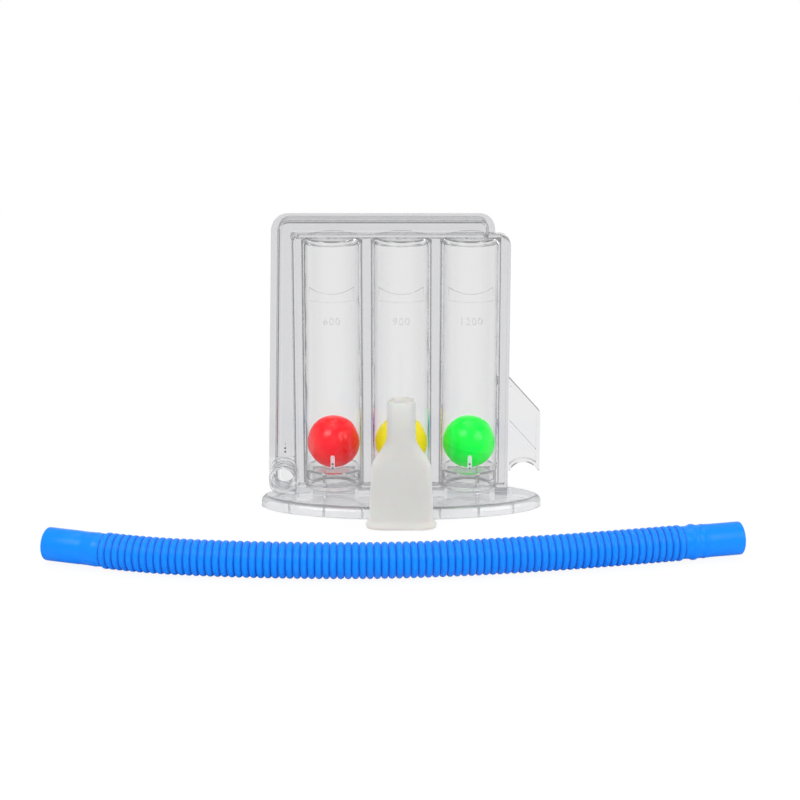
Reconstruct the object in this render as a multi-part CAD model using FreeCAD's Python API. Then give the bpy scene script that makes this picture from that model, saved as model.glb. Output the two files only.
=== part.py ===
import FreeCAD, Part
import math
import os

# Three-ball incentive spirometer with its mouthpiece and corrugated hose laid out in front of it.
# Millimetres, with X to the right, Y to the back and Z up from the middle of the base's underside.

V = FreeCAD.Vector
UP = V(0, 0, 1)
BACK = V(0, 1, 0)

# Balls and the tubes that hold them
BALL_D = 25.0
BALL_WALL = 1.0
BALL_COLOURS = ("red", "yellow", "green")
TUBE_PITCH = 32.3
TUBE_WALL = 1.4
TUBE_FREE_TOP = 0.4
TUBE_FREE_FOOT = 0.6
TUBE_FOOT_Z = 9.6
TUBE_ROOF_Z = 129.1
TUBE_ROOF_CHAMFER = 1.2
TUBE_SHOULDER_ROUND = 3.0
TUBE_FOOT_ROUND = 3.0
TUBE_LIP = 2.4
OUTLET_D = 5.0
OUTLET_BACK = 5.0

# Floor cup under each ball
CUP_TOP_Z = 19.7
CUP_HEIGHT = 5.0
CUP_PLATE = 1.4
CUP_WALL = 1.2
CUP_FREE = 0.1
SEAT_D = 8.8
SEAT_CHAMFER = 0.5
BALL_REST_GAP = 0.28

# Outline of the two clear housings, which meet at y = 0
LEFT_TOP_X = -60.3
LEFT_FOOT_X = -63.6
DUCT_RIGHT_X = 43.6
BLOCK_LEFT_X = -50.4
BLOCK_RIGHT_X = 50.9
BLOCK_RISE = 3.2
MANIFOLD_RISE = 9.2
DUCT_CORNER_R = 8.2
DUCT_FOOT_R = 6.0
BLOCK_LEFT_R = 3.5
BLOCK_RIGHT_R = 5.5
SMALL_R = 0.8

# Walls of the housings
FLANGE_WIDTH = 3.0
FLANGE_THICK = 1.2
DUCT_WALL = 1.4
PANEL_FORWARD = 2.6
BLOCK_FORWARD = 4.5
BLOCK_EDGE_R = 1.0
DUCT_DEPTH = 13.0
DUCT_BACK_R = 2.0
PARTITION = 1.8

# Inlet port on the side channel
PORT_X = -55.8
PORT_Z = 17.2
PORT_D = 13.2
PORT_BORE_D = 10.4
PORT_LENGTH = 13.0
PORT_TIP_CHAMFER = 0.5
PORT_ROOT_D = 14.4
PORT_ROOT_LENGTH = 2.5

# Holder fin on the right, with its round notch
FIN_TOP_Z = 63.7
FIN_RIGHT_X = 65.9
FIN_CORNER_Z = 46.9
FIN_TIP_Z = 18.2
FIN_ROOT = 1.2
FIN_PLATE = 1.4
FIN_RIM = 1.8
FIN_RIB_DROP = 20.4
FIN_RIB_WIDTH = 1.4
NOTCH_X = 58.4
NOTCH_Z = 15.0
NOTCH_R = 7.4
FIN_CORNER_R = 2.5

# Oval base tray
BASE_LENGTH = 134.4
BASE_DEPTH = 48.0
BASE_HEIGHT = 5.2
BASE_WALL = 1.4
BASE_ROUND = 3.4
RIB_THICK = 1.2
RIB_PLACES = (-53.0, -36.5, -18.2, 0.0, 18.2, 36.5, 53.0)
POST_FREE = 0.5
SOCKET_HEIGHT = 2.0
SOCKET_WALL = 1.2
SOCKET_FREE = 0.15
FOOT_WIDTH = 6.0
WEB_FOOT_Z = 6.8

# Hose of corrugated plastic with a cuff at each end, the right one beaded
HOSE_D = 16.0
HOSE_BORE_D = 12.6
CUFF_D = 14.8
CUFF_BORE_D = 13.3
CUFF_LENGTH = 28.0
CUFF_BEAD_D = 16.0
CUFF_BEAD_WIDTH = 2.4
CUFF_BEAD_FROM_HOSE = 5.2
CUFF_BEAD_CHAMFER = 0.5
HOSE_Z = HOSE_D / 2
HOSE_ROUTE = (
    (-129.5, -90.0),
    (-113.0, -95.7),
    (-84.0, -100.2),
    (-50.0, -103.0),
    (-10.0, -103.6),
    (28.0, -99.8),
    (62.0, -94.0),
    (95.0, -86.9),
    (123.5, -79.9),
)
ARC_SHARE = 0.45

# Mouthpiece, standing on its bite end
MOUTH_Y = -34.2
MOUTH_HEIGHT = 61.0
NECK_D = 13.2
NECK_BORE_D = 9.8
NECK_LENGTH = 18.0
MOUTH_WALL = 1.3
BITE_WIDTH = 29.8
BITE_DEPTH = 11.0
SHOULDER_WIDTH = 27.6
SHOULDER_DEPTH = 11.6
SHOULDER_DROP = 13.0
LIP_WIDTH = 33.4
LIP_DEPTH = 14.0
LIP_HEIGHT = 2.8
LIP_CHAMFER = 0.9
MOUTH_SQUARENESS = 3.0
MOUTH_WAIST = 0.1
MOUTH_WAIST_REACH = 8.0
MOUTH_STEP = 0.3
MOUTH_SECTIONS = 8
RING_POINTS = 16

# Small rib on the front of each tube, beside the ball's rest place
MARK_WIDTH = 2.0
MARK_FOOT_Z = 22.0
MARK_TOP_Z = 28.8
MARK_PROUD = 0.4
MARK_CORNER_R = 0.95

# How far a cutting body runs on past the wall that it opens
OVERRUN = 1.0

# Sizes that follow from the ones above
BALL_R = BALL_D / 2
BORE_TOP_R = BALL_R + TUBE_FREE_TOP
BORE_FOOT_R = BALL_R + TUBE_FREE_FOOT
TUBE_TOP_R = BORE_TOP_R + TUBE_WALL
TUBE_FOOT_R = BORE_FOOT_R + TUBE_WALL
TUBE_TOP_Z = TUBE_ROOF_Z + TUBE_WALL
BLOCK_TOP_Z = TUBE_ROOF_Z + BLOCK_RISE
TOP_Z = BLOCK_TOP_Z + MANIFOLD_RISE
TUBE_XS = (-TUBE_PITCH, 0.0, TUBE_PITCH)
LIP_R = BORE_FOOT_R - TUBE_LIP
SEAT_R = SEAT_D / 2
BALL_Z = CUP_TOP_Z + math.sqrt((BALL_R + BALL_REST_GAP) ** 2 - SEAT_R**2)
DECK_Z = BASE_HEIGHT
CHANNEL_FOOT_TOP_Z = PORT_Z + PORT_ROOT_D / 2
CUP_FOOT_Z = CUP_TOP_Z - CUP_HEIGHT
CUP_PLATE_Z = CUP_TOP_Z - CUP_PLATE
MANIFOLD_Z = TUBE_ROOF_Z + PARTITION


def rounded_wire(corners, y):
    """A closed wire at depth y through (x, z, radius) corners, with each corner turned into an arc."""
    count = len(corners)
    turns = []
    for i, (x, z, radius) in enumerate(corners):
        here = V(x, y, z)
        before = V(corners[i - 1][0], y, corners[i - 1][1])
        after = V(corners[(i + 1) % count][0], y, corners[(i + 1) % count][1])
        back = (before - here).normalize()
        ahead = (after - here).normalize()
        half = back.getAngle(ahead) / 2
        reach = radius / math.tan(half)
        middle = here + (back + ahead).normalize() * (radius / math.sin(half) - radius)
        turns.append((here + back * reach, middle, here + ahead * reach))
    edges = []
    for i, (start, middle, stop) in enumerate(turns):
        edges.append(Part.Arc(start, middle, stop).toShape())
        edges.append(Part.LineSegment(stop, turns[(i + 1) % count][0]).toShape())
    return Part.Wire(edges)


def slab(corners, y_front, y_back):
    """A plate between two depths with a rounded outline."""
    return Part.Face(rounded_wire(corners, y_front)).extrude(BACK * (y_back - y_front))


def box(low, high):
    return Part.makeBox(high[0] - low[0], high[1] - low[1], high[2] - low[2], V(*low))


def upright(radius_foot, radius_top, z_foot, z_top, x, y=0.0):
    """A vertical round bar, tapered if its two radii differ."""
    place = V(x, y, z_foot)
    if abs(radius_foot - radius_top) < 1e-9:
        return Part.makeCylinder(radius_foot, z_top - z_foot, place, UP)
    return Part.makeCone(radius_foot, radius_top, z_top - z_foot, place, UP)


def edges_where(shape, test):
    return [edge for edge in shape.Edges if test(edge.BoundBox)]


def at_depth(y):
    return lambda b: abs(b.YMin - y) < 1e-4 and abs(b.YMax - y) < 1e-4


def at_height(z):
    return lambda b: abs(b.ZMin - z) < 1e-4 and abs(b.ZMax - z) < 1e-4


def left_edge_x(z):
    """The channel's outer edge leans out a little towards the foot."""
    share = (TOP_Z - z) / (TOP_Z - DECK_Z)
    return LEFT_TOP_X + (LEFT_FOOT_X - LEFT_TOP_X) * share


def outline():
    """The edge that both housings share: the channel and manifold, the tube block, and their step."""
    return (
        (LEFT_FOOT_X, DECK_Z, DUCT_FOOT_R),
        (LEFT_TOP_X, TOP_Z, DUCT_CORNER_R),
        (DUCT_RIGHT_X, TOP_Z, DUCT_CORNER_R - SMALL_R),
        (DUCT_RIGHT_X, BLOCK_TOP_Z, SMALL_R),
        (BLOCK_RIGHT_X, BLOCK_TOP_Z, BLOCK_RIGHT_R),
        (BLOCK_RIGHT_X, TUBE_FOOT_Z, SMALL_R),
        (BLOCK_LEFT_X, TUBE_FOOT_Z, SMALL_R),
        (BLOCK_LEFT_X, DECK_Z, SMALL_R),
    )


def duct_outline(inset, floor_z, right_wall, foot_inset):
    """The Gamma-shaped duct: side channel and top manifold, inset from the shared outline."""
    top = TOP_Z - inset
    foot = DECK_Z + foot_inset
    block_side = BLOCK_LEFT_X - right_wall
    inner_r = max(DUCT_CORNER_R - inset, SMALL_R)
    return (
        (left_edge_x(foot) + inset, foot, DUCT_FOOT_R - foot_inset),
        (left_edge_x(top) + inset, top, inner_r),
        (DUCT_RIGHT_X - inset, top, min(inner_r, (top - floor_z) / 2)),
        (DUCT_RIGHT_X - inset, floor_z, SMALL_R),
        (block_side, floor_z, SMALL_R),
        (block_side, foot, SMALL_R),
    )


def block_outline(inset):
    return (
        (BLOCK_LEFT_X + inset, TUBE_FOOT_Z + inset, SMALL_R),
        (BLOCK_LEFT_X + inset, BLOCK_TOP_Z - inset, BLOCK_LEFT_R - inset),
        (BLOCK_RIGHT_X - inset, BLOCK_TOP_Z - inset, BLOCK_RIGHT_R - inset),
        (BLOCK_RIGHT_X - inset, TUBE_FOOT_Z + inset, SMALL_R),
    )


def tube_bore(x):
    """The space a ball travels in, with a narrower opening through the foot's lip."""
    floor_z = TUBE_FOOT_Z + TUBE_WALL
    bore = upright(BORE_FOOT_R, BORE_TOP_R, floor_z, TUBE_ROOF_Z, x)
    bore = bore.makeChamfer(TUBE_ROOF_CHAMFER, edges_where(bore, at_height(TUBE_ROOF_Z)))
    bore = bore.makeChamfer(TUBE_WALL, edges_where(bore, at_height(floor_z)))
    mouth = upright(LIP_R, LIP_R, TUBE_FOOT_Z - OVERRUN, floor_z, x)
    return bore.fuse(mouth)


def half_tube(x, top_z, shoulder, forward):
    """The outside of one tube, in front of the joint plane or behind it."""
    bar = upright(TUBE_FOOT_R, TUBE_TOP_R, TUBE_FOOT_Z, top_z, x)
    bar = bar.makeFillet(TUBE_FOOT_ROUND, edges_where(bar, at_height(TUBE_FOOT_Z)))
    if shoulder > 0:
        bar = bar.makeFillet(shoulder, edges_where(bar, at_height(top_z)))
    reach = TUBE_FOOT_R + OVERRUN
    if forward:
        keep = box((x - reach, -reach, TUBE_FOOT_Z), (x + reach, 0.0, top_z))
    else:
        keep = box((x - reach, 0.0, TUBE_FOOT_Z), (x + reach, reach, top_z))
    return bar.common(keep)


def tube_mark(x):
    """A narrow rounded rib on the front of a tube, beside the ball's rest place."""
    radius = TUBE_FOOT_R + MARK_PROUD
    half = MARK_WIDTH / 2
    corners = (
        (x - half, MARK_FOOT_Z, MARK_CORNER_R),
        (x - half, MARK_TOP_Z, MARK_CORNER_R),
        (x + half, MARK_TOP_Z, MARK_CORNER_R),
        (x + half, MARK_FOOT_Z, MARK_CORNER_R),
    )
    return slab(corners, -radius, -BORE_FOOT_R)


def fin_outline(inset):
    """The holder fin: a slanted top edge, an upright outer edge and a tip beside the notch."""
    run = FIN_RIGHT_X - BLOCK_RIGHT_X
    slope = (FIN_TOP_Z - FIN_CORNER_Z) / run
    slant = inset * math.sqrt(1 + slope**2)
    root = BLOCK_RIGHT_X - FIN_ROOT + inset
    right = FIN_RIGHT_X - inset
    return (
        (root, FIN_TIP_Z + inset, SMALL_R / 2),
        (root, FIN_TOP_Z + slope * (BLOCK_RIGHT_X - root) - slant, SMALL_R / 2),
        (right, FIN_TOP_Z - slope * (right - BLOCK_RIGHT_X) - slant, FIN_CORNER_R),
        (right, FIN_TIP_Z + inset, SMALL_R / 2),
    )


def holder_fin():
    """A thin plate with a raised rim, a slanted rib and the round notch that holds the hose."""
    fin = slab(fin_outline(0.0), -BLOCK_FORWARD, 0.0)
    notch_axis = V(NOTCH_X, -BLOCK_FORWARD - OVERRUN, NOTCH_Z)
    through = BLOCK_FORWARD + 2 * OVERRUN
    pocket = slab(fin_outline(FIN_RIM), -BLOCK_FORWARD, -FIN_PLATE)
    pocket = pocket.cut(Part.makeCylinder(NOTCH_R + FIN_RIM, through, notch_axis, BACK))
    slope = (FIN_TOP_Z - FIN_CORNER_Z) / (FIN_RIGHT_X - BLOCK_RIGHT_X)
    rib_start = FIN_TOP_Z - FIN_RIB_DROP
    rise = FIN_RIB_WIDTH * math.sqrt(1 + slope**2)
    left = BLOCK_RIGHT_X - FIN_ROOT
    corners = [
        V(left, -BLOCK_FORWARD, rib_start + slope * FIN_ROOT),
        V(FIN_RIGHT_X, -BLOCK_FORWARD, rib_start - slope * (FIN_RIGHT_X - BLOCK_RIGHT_X)),
        V(FIN_RIGHT_X, -BLOCK_FORWARD, rib_start - slope * (FIN_RIGHT_X - BLOCK_RIGHT_X) - rise),
        V(left, -BLOCK_FORWARD, rib_start + slope * FIN_ROOT - rise),
    ]
    rib = Part.Face(Part.makePolygon(corners + corners[:1])).extrude(BACK * BLOCK_FORWARD)
    fin = fin.cut(pocket.cut(rib))
    return fin.cut(Part.makeCylinder(NOTCH_R, through, notch_axis, BACK))


def duct_cover():
    """The rim that both housings share, with the raised panel over the duct."""
    panel_foot_z = BLOCK_TOP_Z - DUCT_WALL
    panel = slab(duct_outline(FLANGE_WIDTH, panel_foot_z, 0.0, FLANGE_WIDTH), -PANEL_FORWARD, 0.0)
    panel = panel.makeFillet(SMALL_R, edges_where(panel, at_depth(-PANEL_FORWARD)))
    return slab(outline(), -FLANGE_THICK, 0.0).fuse(panel)


def duct_hollow():
    """The air space inside the panel."""
    inset = FLANGE_WIDTH + DUCT_WALL
    return slab(duct_outline(inset, BLOCK_TOP_Z, DUCT_WALL, inset), -PANEL_FORWARD + DUCT_WALL, 0.0)


def channel_foot():
    """The space beside the tube block that the port's moulding fills, from the deck to above the port."""
    low = (LEFT_FOOT_X - OVERRUN, -BLOCK_FORWARD - OVERRUN, DECK_Z - OVERRUN)
    return box(low, (BLOCK_LEFT_X, OVERRUN, CHANNEL_FOOT_TOP_Z))


def inlet_port():
    """The channel's foot with the spigot that a hose cuff is pushed over, and a wider root as its stop."""
    tip = V(PORT_X, -PANEL_FORWARD - PORT_LENGTH, PORT_Z)
    stop = V(PORT_X, -PANEL_FORWARD - PORT_ROOT_LENGTH, PORT_Z)
    spigot = Part.makeCylinder(PORT_D / 2, PORT_LENGTH, tip, BACK)
    spigot = spigot.makeChamfer(PORT_TIP_CHAMFER, edges_where(spigot, at_depth(tip.y)))
    root = Part.makeCylinder(PORT_ROOT_D / 2, -FLANGE_THICK - stop.y, stop, BACK)
    side_low = (BLOCK_LEFT_X, -BLOCK_FORWARD, PORT_Z - PORT_ROOT_D)
    beside_block = box(side_low, (BLOCK_RIGHT_X, 0.0, PORT_Z + PORT_ROOT_D))
    bore = Part.makeCylinder(PORT_BORE_D / 2, -tip.y, tip, BACK)
    foot = duct_cover().cut(duct_hollow()).common(channel_foot())
    return foot.fuse([spigot, root]).cut([beside_block, bore]).removeSplitter()


def tube_webs(y_front, y_back):
    """Short plates between the tubes' feet, which carry the shared rim on below the block."""
    half = TUBE_PITCH / 2 - TUBE_FOOT_R + TUBE_FOOT_ROUND
    webs = []
    for left, right in zip(TUBE_XS, TUBE_XS[1:]):
        middle = (left + right) / 2
        low = (middle - half, y_front, WEB_FOOT_Z)
        webs.append(box(low, (middle + half, y_back, TUBE_FOOT_Z + TUBE_WALL)))
    return webs


def foot_plate(y_front, y_back):
    """The foot under the block's right end, which stands on the base."""
    corners = (
        (BLOCK_RIGHT_X - FOOT_WIDTH, DECK_Z, SMALL_R),
        (BLOCK_RIGHT_X - FOOT_WIDTH, TUBE_FOOT_Z + DUCT_WALL, SMALL_R / 2),
        (BLOCK_RIGHT_X, TUBE_FOOT_Z + DUCT_WALL, SMALL_R / 2),
        (BLOCK_RIGHT_X, DECK_Z, SMALL_R),
    )
    return slab(corners, y_front, y_back)


def front_housing():
    """Clear front moulding: duct cover, raised tube block, three half tubes and fin."""
    block = slab(block_outline(0.0), -BLOCK_FORWARD, 0.0)
    block = block.makeFillet(BLOCK_EDGE_R, edges_where(block, at_depth(-BLOCK_FORWARD)))
    inside = slab(block_outline(DUCT_WALL), -BLOCK_FORWARD + DUCT_WALL, 0.0)
    shell = duct_cover().fuse([block, foot_plate(-FLANGE_THICK, 0.0)])
    shell = shell.cut([duct_hollow(), inside])
    tubes = [half_tube(x, TUBE_TOP_Z, TUBE_SHOULDER_ROUND, True) for x in TUBE_XS]
    marks = [tube_mark(x) for x in TUBE_XS]
    shell = shell.fuse(tubes + marks + tube_webs(-FLANGE_THICK, 0.0) + [holder_fin()])
    shell = shell.cut([tube_bore(x) for x in TUBE_XS] + [channel_foot()])
    return shell.removeSplitter()


def rear_housing():
    """Clear rear moulding: flange, the duct's box and the three rear half tubes."""
    shell = slab(outline(), 0.0, FLANGE_THICK)
    duct = slab(duct_outline(FLANGE_WIDTH, TUBE_ROOF_Z, 0.0, 0.0), 0.0, DUCT_DEPTH)
    duct = duct.makeFillet(DUCT_BACK_R, edges_where(duct, at_depth(DUCT_DEPTH)))
    tubes = [half_tube(x, MANIFOLD_Z, 0.0, False) for x in TUBE_XS]
    shell = shell.fuse([duct, foot_plate(0.0, FLANGE_THICK)] + tube_webs(0.0, FLANGE_THICK) + tubes)
    hollow = slab(
        duct_outline(FLANGE_WIDTH + DUCT_WALL, MANIFOLD_Z, DUCT_WALL, DUCT_WALL),
        0.0,
        DUCT_DEPTH - DUCT_WALL,
    )
    hollow = hollow.makeFillet(SMALL_R, edges_where(hollow, at_depth(DUCT_DEPTH - DUCT_WALL)))
    outlets = [
        upright(OUTLET_D / 2, OUTLET_D / 2, TUBE_ROOF_Z - OVERRUN, MANIFOLD_Z + OVERRUN, x, OUTLET_BACK)
        for x in TUBE_XS
    ]
    shell = shell.cut([hollow] + [tube_bore(x) for x in TUBE_XS] + outlets)
    return shell.removeSplitter()


def floor_cup(x):
    """The insert that closes a tube's foot: a plate with the ball's round seat, on a short skirt."""
    floor_z = TUBE_FOOT_Z + TUBE_WALL
    height_share = (CUP_TOP_Z - floor_z) / (TUBE_ROOF_Z - floor_z)
    radius = BORE_FOOT_R - (BORE_FOOT_R - BORE_TOP_R) * height_share - CUP_FREE
    room = radius - CUP_WALL
    cup = upright(radius, radius, CUP_FOOT_Z, CUP_TOP_Z, x)
    cup = cup.cut(upright(room, room, CUP_FOOT_Z, CUP_PLATE_Z, x))
    seat = upright(SEAT_R, SEAT_R, CUP_FOOT_Z, CUP_TOP_Z, x)
    lead = upright(SEAT_R + SEAT_CHAMFER, SEAT_R, CUP_PLATE_Z, CUP_PLATE_Z + SEAT_CHAMFER, x)
    return cup.cut([seat, lead])


def ball(x):
    """A light hollow ball."""
    centre = V(x, 0, BALL_Z)
    return Part.makeSphere(BALL_R, centre).cut(Part.makeSphere(BALL_R - BALL_WALL, centre))


def base_plan(inset, height):
    """An upright slab with the base's oval plan, smaller all round by the inset."""
    edge = Part.Ellipse(V(0, 0, 0), BASE_LENGTH / 2 - inset, BASE_DEPTH / 2 - inset).toShape()
    return Part.Face(Part.Wire(edge)).extrude(UP * height)


def base_body(inset):
    """The base's low dome with its rounded edge."""
    height = BASE_HEIGHT - inset
    body = base_plan(inset, height)
    return body.makeFillet(BASE_ROUND - inset, edges_where(body, at_height(height)))


def post(x):
    """A cross of two upright plates through a tube's foot, which carries the floor cup's plate."""
    reach = LIP_R - POST_FREE
    half = RIB_THICK / 2
    offset = math.copysign(abs(RIB_PLACES[-2]) - TUBE_PITCH, x) if x else 0.0
    along = box((x + offset - half, -reach, DECK_Z), (x + offset + half, reach, CUP_PLATE_Z))
    across = box((x - reach, -half, DECK_Z), (x + reach, half, CUP_PLATE_Z))
    cross = along.fuse(across)
    return cross.common(upright(reach, reach, DECK_Z, CUP_PLATE_Z, x))


def socket_wall():
    """A low wall on the deck around the foot of the side channel."""
    left = left_edge_x(DECK_Z) + FLANGE_WIDTH
    outer = box(
        (left - SOCKET_WALL, FLANGE_THICK, DECK_Z - BASE_ROUND),
        (BLOCK_LEFT_X + SOCKET_FREE + SOCKET_WALL, DUCT_DEPTH, DECK_Z + SOCKET_HEIGHT),
    )
    room = box(
        (left - 2 * SOCKET_WALL, FLANGE_THICK, DECK_Z),
        (BLOCK_LEFT_X + SOCKET_FREE, DUCT_DEPTH, DECK_Z + SOCKET_HEIGHT),
    )
    return outer.cut(room)


def foot_socket():
    """Two low ribs on the deck, one in front of the right foot and one behind it."""
    low_x = BLOCK_RIGHT_X - FOOT_WIDTH
    near = FLANGE_THICK + SOCKET_FREE
    top = DECK_Z + SOCKET_HEIGHT
    front = box((low_x, -near - SOCKET_WALL, DECK_Z), (BLOCK_RIGHT_X, -near, top))
    rear = box((low_x, near, DECK_Z), (BLOCK_RIGHT_X, near + SOCKET_WALL, top))
    return front.fuse(rear)


def base_tray():
    """Clear oval base: a low dome, ribs underneath and the posts that carry the floor cups."""
    room = base_body(BASE_WALL)
    reach = BASE_DEPTH / 2
    ribs = []
    for x in RIB_PLACES:
        rib = box((x - RIB_THICK / 2, -reach, 0.0), (x + RIB_THICK / 2, reach, DECK_Z))
        ribs.append(rib.common(base_body(BASE_WALL / 2)))
    posts = [post(x) for x in TUBE_XS]
    socket = socket_wall().common(base_plan(0.0, DECK_Z + SOCKET_HEIGHT)).cut(room)
    tray = base_body(0.0).cut(room)
    return tray.fuse(ribs + posts + [socket, foot_socket()])


def mouth_section(width, depth, z, squareness, waist):
    """A closed flattened ring: a superellipse that may be a little narrower in the middle."""
    points = []
    for i in range(RING_POINTS):
        angle = 2 * math.pi * i / RING_POINTS
        c, s = math.cos(angle), math.sin(angle)
        x = width / 2 * math.copysign(abs(c) ** (2 / squareness), c)
        y = depth / 2 * math.copysign(abs(s) ** (2 / squareness), s)
        y *= 1 - waist * math.exp(-((x / MOUTH_WAIST_REACH) ** 2))
        points.append(V(x, MOUTH_Y + y, z))
    curve = Part.BSplineCurve()
    curve.interpolate(points, PeriodicFlag=True)
    return Part.Wire(curve.toShape())


def mouth_body(inset, foot_z, top_z):
    """The body under the round neck: it flares to the shoulder, then runs straight to the flat bite end."""
    neck_z = MOUTH_HEIGHT - NECK_LENGTH
    shoulder_z = neck_z - SHOULDER_DROP
    neck = NECK_D - MOUTH_STEP
    sections = []
    for i in range(MOUTH_SECTIONS + 1):
        z = top_z + (foot_z - top_z) * i / MOUTH_SECTIONS
        drop = min(max((neck_z - z) / SHOULDER_DROP, 0.0), 1.0)
        flare = drop * drop * (3 - 2 * drop)
        spread = max(shoulder_z - z, 0.0) / shoulder_z
        width = neck + (SHOULDER_WIDTH - neck) * flare + (BITE_WIDTH - SHOULDER_WIDTH) * spread
        depth = neck + (SHOULDER_DEPTH - neck) * flare + (BITE_DEPTH - SHOULDER_DEPTH) * spread
        squareness = 2 + (MOUTH_SQUARENESS - 2) * flare
        waist = MOUTH_WAIST * spread
        sections.append(mouth_section(width - 2 * inset, depth - 2 * inset, z, squareness, waist))
    return Part.makeLoft(sections, True, False)


def mouthpiece():
    """Milky mouthpiece: round neck, tapered body and a lip round the bite end."""
    neck_z = MOUTH_HEIGHT - NECK_LENGTH
    lip_sections = [
        mouth_section(LIP_WIDTH - 2 * inset, LIP_DEPTH - 2 * inset, z, MOUTH_SQUARENESS, MOUTH_WAIST)
        for inset, z in ((0.0, 0.0), (0.0, LIP_HEIGHT - LIP_CHAMFER), (LIP_CHAMFER, LIP_HEIGHT))
    ]
    lip = Part.makeLoft(lip_sections, True, True)
    neck = upright(NECK_D / 2, NECK_D / 2, neck_z, MOUTH_HEIGHT, 0.0, MOUTH_Y)
    solid = mouth_body(0.0, 0.0, neck_z + OVERRUN).fuse([neck, lip])
    room = mouth_body(MOUTH_WALL, -OVERRUN, neck_z - MOUTH_WALL)
    bore = upright(NECK_BORE_D / 2, NECK_BORE_D / 2, neck_z - 2 * MOUTH_WALL, MOUTH_HEIGHT, 0.0, MOUTH_Y)
    return solid.cut(room).cut(bore)


def route_points():
    return [V(x, y, HOSE_Z) for x, y in HOSE_ROUTE]


def hose_path():
    """Straight runs joined by tangent arcs, each as large as its two runs allow."""
    points = route_points()
    edges = []
    start = points[0]
    for before, here, after in zip(points, points[1:], points[2:]):
        back = (before - here).normalize()
        ahead = (after - here).normalize()
        half_turn = (math.pi - back.getAngle(ahead)) / 2
        reach = ARC_SHARE * min((before - here).Length, (after - here).Length)
        radius = reach / math.tan(half_turn)
        bisector = (back + ahead).normalize()
        middle = here + bisector * (radius / math.cos(half_turn) - radius)
        arc_start = here + back * reach
        arc_stop = here + ahead * reach
        print("hose arc radius", round(radius, 1), "turn", round(math.degrees(2 * half_turn), 2))
        edges.append(Part.LineSegment(start, arc_start).toShape())
        edges.append(Part.Arc(arc_start, middle, arc_stop).toShape())
        start = arc_stop
    edges.append(Part.LineSegment(start, points[-1]).toShape())
    return Part.Wire(edges)


def swept(path, diameter):
    first = path.Edges[0]
    begin = first.valueAt(first.FirstParameter)
    direction = first.tangentAt(first.FirstParameter)
    section = Part.Wire(Part.makeCircle(diameter / 2, begin, direction))
    return path.makePipeShell([section], True, False, 2)


def hose():
    path = hose_path()
    tube = swept(path, HOSE_D).cut(swept(path, HOSE_BORE_D))
    ring = math.pi / 4 * (HOSE_D**2 - HOSE_BORE_D**2)
    expected = round(ring * path.Length)
    print("hose length", round(path.Length, 1), "volume", round(tube.Volume), "expected", expected)
    return tube


def cuff(end, inward):
    """A plain round cuff that continues the hose in a straight line."""
    outward = (end - inward).normalize()
    sleeve = Part.makeCylinder(CUFF_D / 2, CUFF_LENGTH, end, outward)
    return sleeve.cut(Part.makeCylinder(CUFF_BORE_D / 2, CUFF_LENGTH, end, outward))


def beaded_cuff(end, inward):
    """A cuff with a bead round it near the hose."""
    outward = (end - inward).normalize()
    bead_place = end + outward * (CUFF_BEAD_FROM_HOSE - CUFF_BEAD_WIDTH / 2)
    bead = Part.makeCylinder(CUFF_BEAD_D / 2, CUFF_BEAD_WIDTH, bead_place, outward)
    bead = bead.makeChamfer(CUFF_BEAD_CHAMFER, edges_where(bead, lambda b: b.DiagonalLength > CUFF_BEAD_D))
    bead = bead.cut(Part.makeCylinder(CUFF_BORE_D / 2, CUFF_LENGTH, end, outward))
    return cuff(end, inward).fuse(bead)


def write(name, shape):
    solids = shape.Solids
    assert shape.isValid() and solids, name
    for solid in solids:
        assert solid.isValid() and solid.Volume > 0, name
    result = solids[0] if len(solids) == 1 else Part.makeCompound(solids)
    result.exportStep("parts/" + name + ".step")
    b = result.optimalBoundingBox(False)
    sizes = [round(v, 1) for v in (b.XMin, b.XMax, b.YMin, b.YMax, b.ZMin, b.ZMax)]
    print(name, len(solids), "solid", round(result.Volume), "mm3", sizes)


def main():
    os.makedirs("parts", exist_ok=True)
    write("base_tray", base_tray())
    write("front_housing", front_housing())
    write("rear_housing", rear_housing())
    write("inlet_port", inlet_port())
    for x, colour in zip(TUBE_XS, BALL_COLOURS):
        write("floor_cup_" + colour, floor_cup(x))
        write("ball_" + colour, ball(x))
    write("mouthpiece", mouthpiece())
    points = route_points()
    write("hose", hose())
    write("hose_cuff_left", cuff(points[0], points[1]))
    write("hose_cuff_right", beaded_cuff(points[-1], points[-2]))


main()
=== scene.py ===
# %% [markdown]
# # Incentive spirometer
# A breathing exerciser moulded in clear plastic: three tubes in a row with a light ball in each, an air
# channel beside and above them, and an oval base. A milky mouthpiece stands in front of it, and a blue
# corrugated hose lies before both. The solids come from the CAD model, so nothing here changes a size.
# The script goes from the camera and the hose, over the small pieces and the clear mouldings, to the
# materials and the light.

import math

import bmesh
import bpy
from mathutils import Matrix, Vector


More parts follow.
